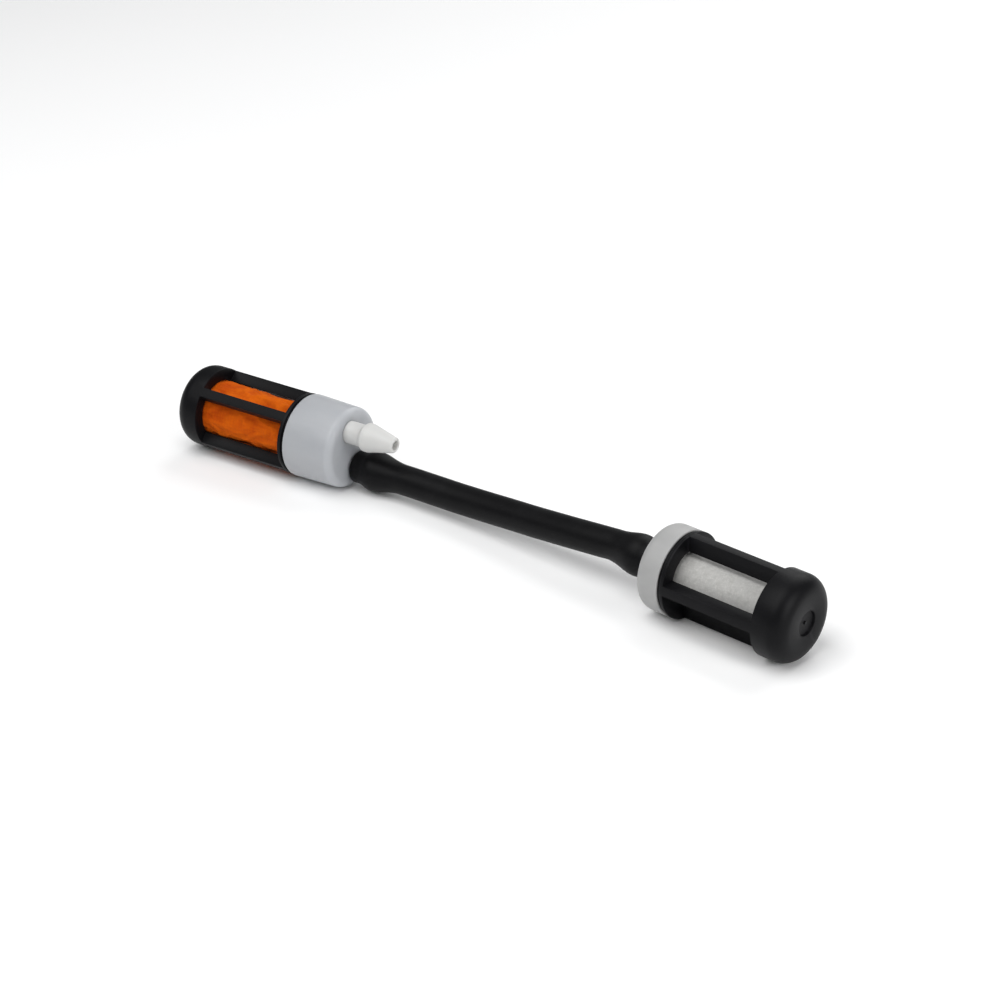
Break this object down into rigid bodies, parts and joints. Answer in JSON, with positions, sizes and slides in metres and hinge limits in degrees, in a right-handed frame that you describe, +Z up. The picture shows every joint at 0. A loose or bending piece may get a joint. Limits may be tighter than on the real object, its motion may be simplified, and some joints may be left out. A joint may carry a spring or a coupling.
{
  "type": "in-tank fuel filter",
  "caption": "Fuel tank pick-up filter: a caged orange filter bag in a white cap with barbed ports, joined by a rubber hose to a caged felt pre-filter.",
  "frame": {"origin": "centre of the outlet barb's gripping land, on the outlet's axis", "axes": "+X along the outlet and the main filter, towards the pick-up; +Z up as the part lies on a flat surface"},
  "size_m": [0.2196, 0.0409, 0.0254],
  "materials": {
    "cage_black": "satin moulded nylon",
    "bag_orange": "fine crumpled filter cloth",
    "core_white": "natural moulded nylon",
    "cap_white": "translucent natural plastic",
    "ring_white": "satin natural plastic",
    "nipple_white": "natural nylon",
    "hose_rubber": "satin extruded rubber",
    "seal_rubber": "matt rubber",
    "felt_white": "pressed white felt"
  },
  "bodies": {
    "main": {"main_cage": "cage_black", "main_bag": "bag_orange", "main_bag_core": "core_white", "main_bag_ring": "core_white", "main_cap": "cap_white", "main_seal": "seal_rubber", "outlet_nipple": "nipple_white", "transfer_nipple": "nipple_white"},
    "hose": {"hose": "hose_rubber"},
    "pickup": {"pickup_nipple": "nipple_white", "pickup_cap": "ring_white", "pickup_seal": "seal_rubber", "pickup_cage": "cage_black", "pickup_sock": "felt_white", "pickup_core": "core_white", "pickup_sock_ring": "core_white"}
  },
  "joints": [
    {"name": "hose_swing", "type": "hinge", "parent": "main", "child": "hose", "pos_m": [0.027, 0.0023, -0.0122], "axis": [0, 0, 1], "range_deg": [-40, 40], "stiffness_Nm_per_rad": 0.05, "deforming": ["hose"]},
    {"name": "hose_lift", "type": "hinge", "parent": "hose", "child": "pickup", "pos_m": [0.0703, -0.0036, -0.0083], "axis": [-0.1392, -0.9903, 0], "range_deg": [-40, 40], "stiffness_Nm_per_rad": 0.05, "deforming": ["hose"]}
  ]
}
